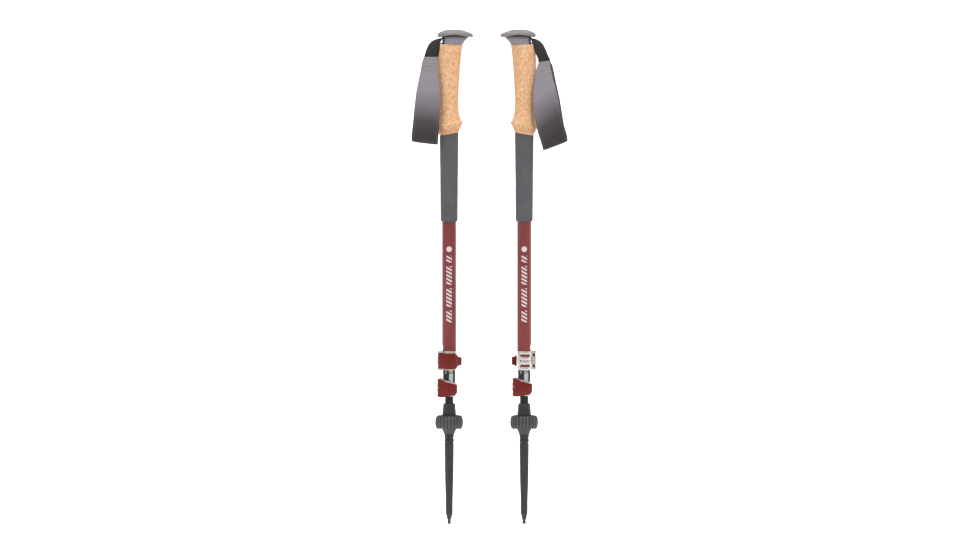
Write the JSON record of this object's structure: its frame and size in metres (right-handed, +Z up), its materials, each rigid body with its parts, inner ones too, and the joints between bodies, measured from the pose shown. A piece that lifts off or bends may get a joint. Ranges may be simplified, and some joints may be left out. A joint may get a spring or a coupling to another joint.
{
  "type": "trekking pole pair",
  "caption": "Collapsed telescoping trekking poles with cork grips, wrist straps, lever locks, baskets and carbide tips.",
  "frame": {"origin": "the point on the axis of the left pole's shaft where the hand closes on its cork grip", "axes": "+Z up along both shafts; +X from the left pole to the right pole; -Y is the side that the lower levers face"},
  "size_m": [0.2028, 0.0379, 0.6397],
  "materials": {
    "cork": "natural cork, fine granules, matt",
    "foam": "closed-cell foam, matt, finely pitted",
    "grip_grey": "moulded grey plastic, satin",
    "red_anodised": "deep red anodised aluminium with a plain white printed pattern",
    "black_anodised": "black anodised aluminium with a light grey printed scale",
    "collar_steel": "satin stamped steel",
    "lever_red": "deep red painted metal, semi gloss",
    "steel": "satin steel",
    "black_plastic": "black moulded plastic, matt",
    "tip_black": "black moulded nylon, satin",
    "carbide": "dark grey sintered carbide",
    "ferrule_black": "black steel ferrule",
    "webbing": "black woven webbing",
    "strap_pad": "grey napped padding"
  },
  "bodies": {
    "pole_a": {"grip_cap_a": "grip_grey", "grip_head_a": "grip_grey", "grip_core_a": "black_plastic", "cork_grip_a": "cork", "foam_sleeve_a": "foam", "head_screw_a": "steel", "strap_wedge_a": "black_plastic", "strap_anchor_a": "webbing", "upper_shaft_a": "red_anodised", "upper_lock_collar_a": "collar_steel", "upper_lock_pad_a": "black_plastic", "upper_lock_nut_a": "steel"},
    "strap_a": {"strap_webbing_a": "webbing", "wrist_loop_a": "strap_pad"},
    "upper_lever_a": {"upper_lock_lever_a": "lever_red"},
    "upper_screw_a": {"upper_lock_screw_a": "steel"},
    "middle_plug_a": {"middle_plug_a": "black_plastic"},
    "middle_a": {"middle_shaft_a": "black_anodised", "lower_lock_collar_a": "collar_steel", "lower_lock_pad_a": "black_plastic", "lower_lock_nut_a": "steel"},
    "lower_lever_a": {"lower_lock_lever_a": "lever_red"},
    "lower_screw_a": {"lower_lock_screw_a": "steel"},
    "lower_plug_a": {"lower_plug_a": "black_plastic"},
    "lower_a": {"lower_shaft_a": "black_anodised", "tip_body_a": "tip_black", "tip_ferrule_a": "ferrule_black", "carbide_tip_a": "carbide"},
    "basket_a": {"basket_a": "tip_black"},
    "pole_b": {"grip_cap_b": "grip_grey", "grip_head_b": "grip_grey", "grip_core_b": "black_plastic", "cork_grip_b": "cork", "foam_sleeve_b": "foam", "head_screw_b": "steel", "strap_wedge_b": "black_plastic", "strap_anchor_b": "webbing", "upper_shaft_b": "red_anodised", "upper_lock_collar_b": "collar_steel", "upper_lock_pad_b": "black_plastic", "upper_lock_nut_b": "steel"},
    "strap_b": {"strap_webbing_b": "webbing", "wrist_loop_b": "strap_pad"},
    "upper_lever_b": {"upper_lock_lever_b": "lever_red"},
    "upper_screw_b": {"upper_lock_screw_b": "steel"},
    "middle_plug_b": {"middle_plug_b": "black_plastic"},
    "middle_b": {"middle_shaft_b": "black_anodised", "lower_lock_collar_b": "collar_steel", "lower_lock_pad_b": "black_plastic", "lower_lock_nut_b": "steel"},
    "lower_lever_b": {"lower_lock_lever_b": "lever_red"},
    "lower_screw_b": {"lower_lock_screw_b": "steel"},
    "lower_plug_b": {"lower_plug_b": "black_plastic"},
    "lower_b": {"lower_shaft_b": "black_anodised", "tip_body_b": "tip_black", "tip_ferrule_b": "ferrule_black", "carbide_tip_b": "carbide"},
    "basket_b": {"basket_b": "tip_black"}
  },
  "joints": [
    {"name": "strap_swing_a", "type": "hinge", "parent": "pole_a", "child": "strap_a", "pos_m": [-0.0169, 0, 0.06304], "axis": [0, 1, 0], "range_deg": [0, 90]},
    {"name": "upper_lever_a", "type": "hinge", "parent": "pole_a", "child": "upper_lever_a", "pos_m": [-0.01165, -0.0069, -0.35266], "axis": [0, 0, -1], "range_deg": [0, 110]},
    {"name": "upper_tension_a", "type": "hinge", "parent": "pole_a", "child": "upper_screw_a", "pos_m": [-0.01165, 0.0027, -0.35266], "axis": [0, 1, 0], "continuous": true},
    {"name": "middle_slide_a", "type": "slide", "parent": "pole_a", "child": "middle_plug_a", "axis": [0, 0, -1], "range_m": [0, 0.33]},
    {"name": "middle_turn_a", "type": "hinge", "parent": "middle_plug_a", "child": "middle_a", "pos_m": [0, 0, 0.02964], "axis": [0, 0, 1], "continuous": true},
    {"name": "lower_lever_a", "type": "hinge", "parent": "middle_a", "child": "lower_lever_a", "pos_m": [-0.0124, -0.0069, -0.38786], "axis": [0, 0, -1], "range_deg": [0, 110]},
    {"name": "lower_tension_a", "type": "hinge", "parent": "middle_a", "child": "lower_screw_a", "pos_m": [-0.0124, 0.0027, -0.38786], "axis": [0, 1, 0], "continuous": true},
    {"name": "lower_slide_a", "type": "slide", "parent": "middle_a", "child": "lower_plug_a", "axis": [0, 0, -1], "range_m": [0, 0.33]},
    {"name": "lower_turn_a", "type": "hinge", "parent": "lower_plug_a", "child": "lower_a", "pos_m": [0, 0, -0.00556], "axis": [0, 0, 1], "continuous": true},
    {"name": "basket_off_a", "type": "slide", "parent": "lower_a", "child": "basket_a", "axis": [0, 0, -1], "range_m": [0, 0.15]},
    {"name": "strap_swing_b", "type": "hinge", "parent": "pole_b", "child": "strap_b", "pos_m": [0.1139, 0, 0.06304], "axis": [0, -1, 0], "range_deg": [0, 90]},
    {"name": "upper_lever_b", "type": "hinge", "parent": "pole_b", "child": "upper_lever_b", "pos_m": [0.10865, 0.0069, -0.35266], "axis": [0, 0, -1], "range_deg": [0, 110]},
    {"name": "upper_tension_b", "type": "hinge", "parent": "pole_b", "child": "upper_screw_b", "pos_m": [0.10865, -0.0027, -0.35266], "axis": [0, -1, 0], "continuous": true},
    {"name": "middle_slide_b", "type": "slide", "parent": "pole_b", "child": "middle_plug_b", "axis": [0, 0, -1], "range_m": [0, 0.33]},
    {"name": "middle_turn_b", "type": "hinge", "parent": "middle_plug_b", "child": "middle_b", "pos_m": [0.097, 0, 0.02964], "axis": [0, 0, 1], "continuous": true},
    {"name": "lower_lever_b", "type": "hinge", "parent": "middle_b", "child": "lower_lever_b", "pos_m": [0.0846, -0.0069, -0.38686], "axis": [0, 0, -1], "range_deg": [0, 110]},
    {"name": "lower_tension_b", "type": "hinge", "parent": "middle_b", "child": "lower_screw_b", "pos_m": [0.0846, 0.0027, -0.38686], "axis": [0, 1, 0], "continuous": true},
    {"name": "lower_slide_b", "type": "slide", "parent": "middle_b", "child": "lower_plug_b", "axis": [0, 0, -1], "range_m": [0, 0.33]},
    {"name": "lower_turn_b", "type": "hinge", "parent": "lower_plug_b", "child": "lower_b", "pos_m": [0.097, 0, -0.00556], "axis": [0, 0, 1], "continuous": true},
    {"name": "basket_off_b", "type": "slide", "parent": "lower_b", "child": "basket_b", "axis": [0, 0, -1], "range_m": [0, 0.15]},
    {"name": "pole_b_apart", "type": "slide", "parent": "pole_a", "child": "pole_b", "axis": [1, 0, 0], "range_m": [0, 0.25]}
  ]
}
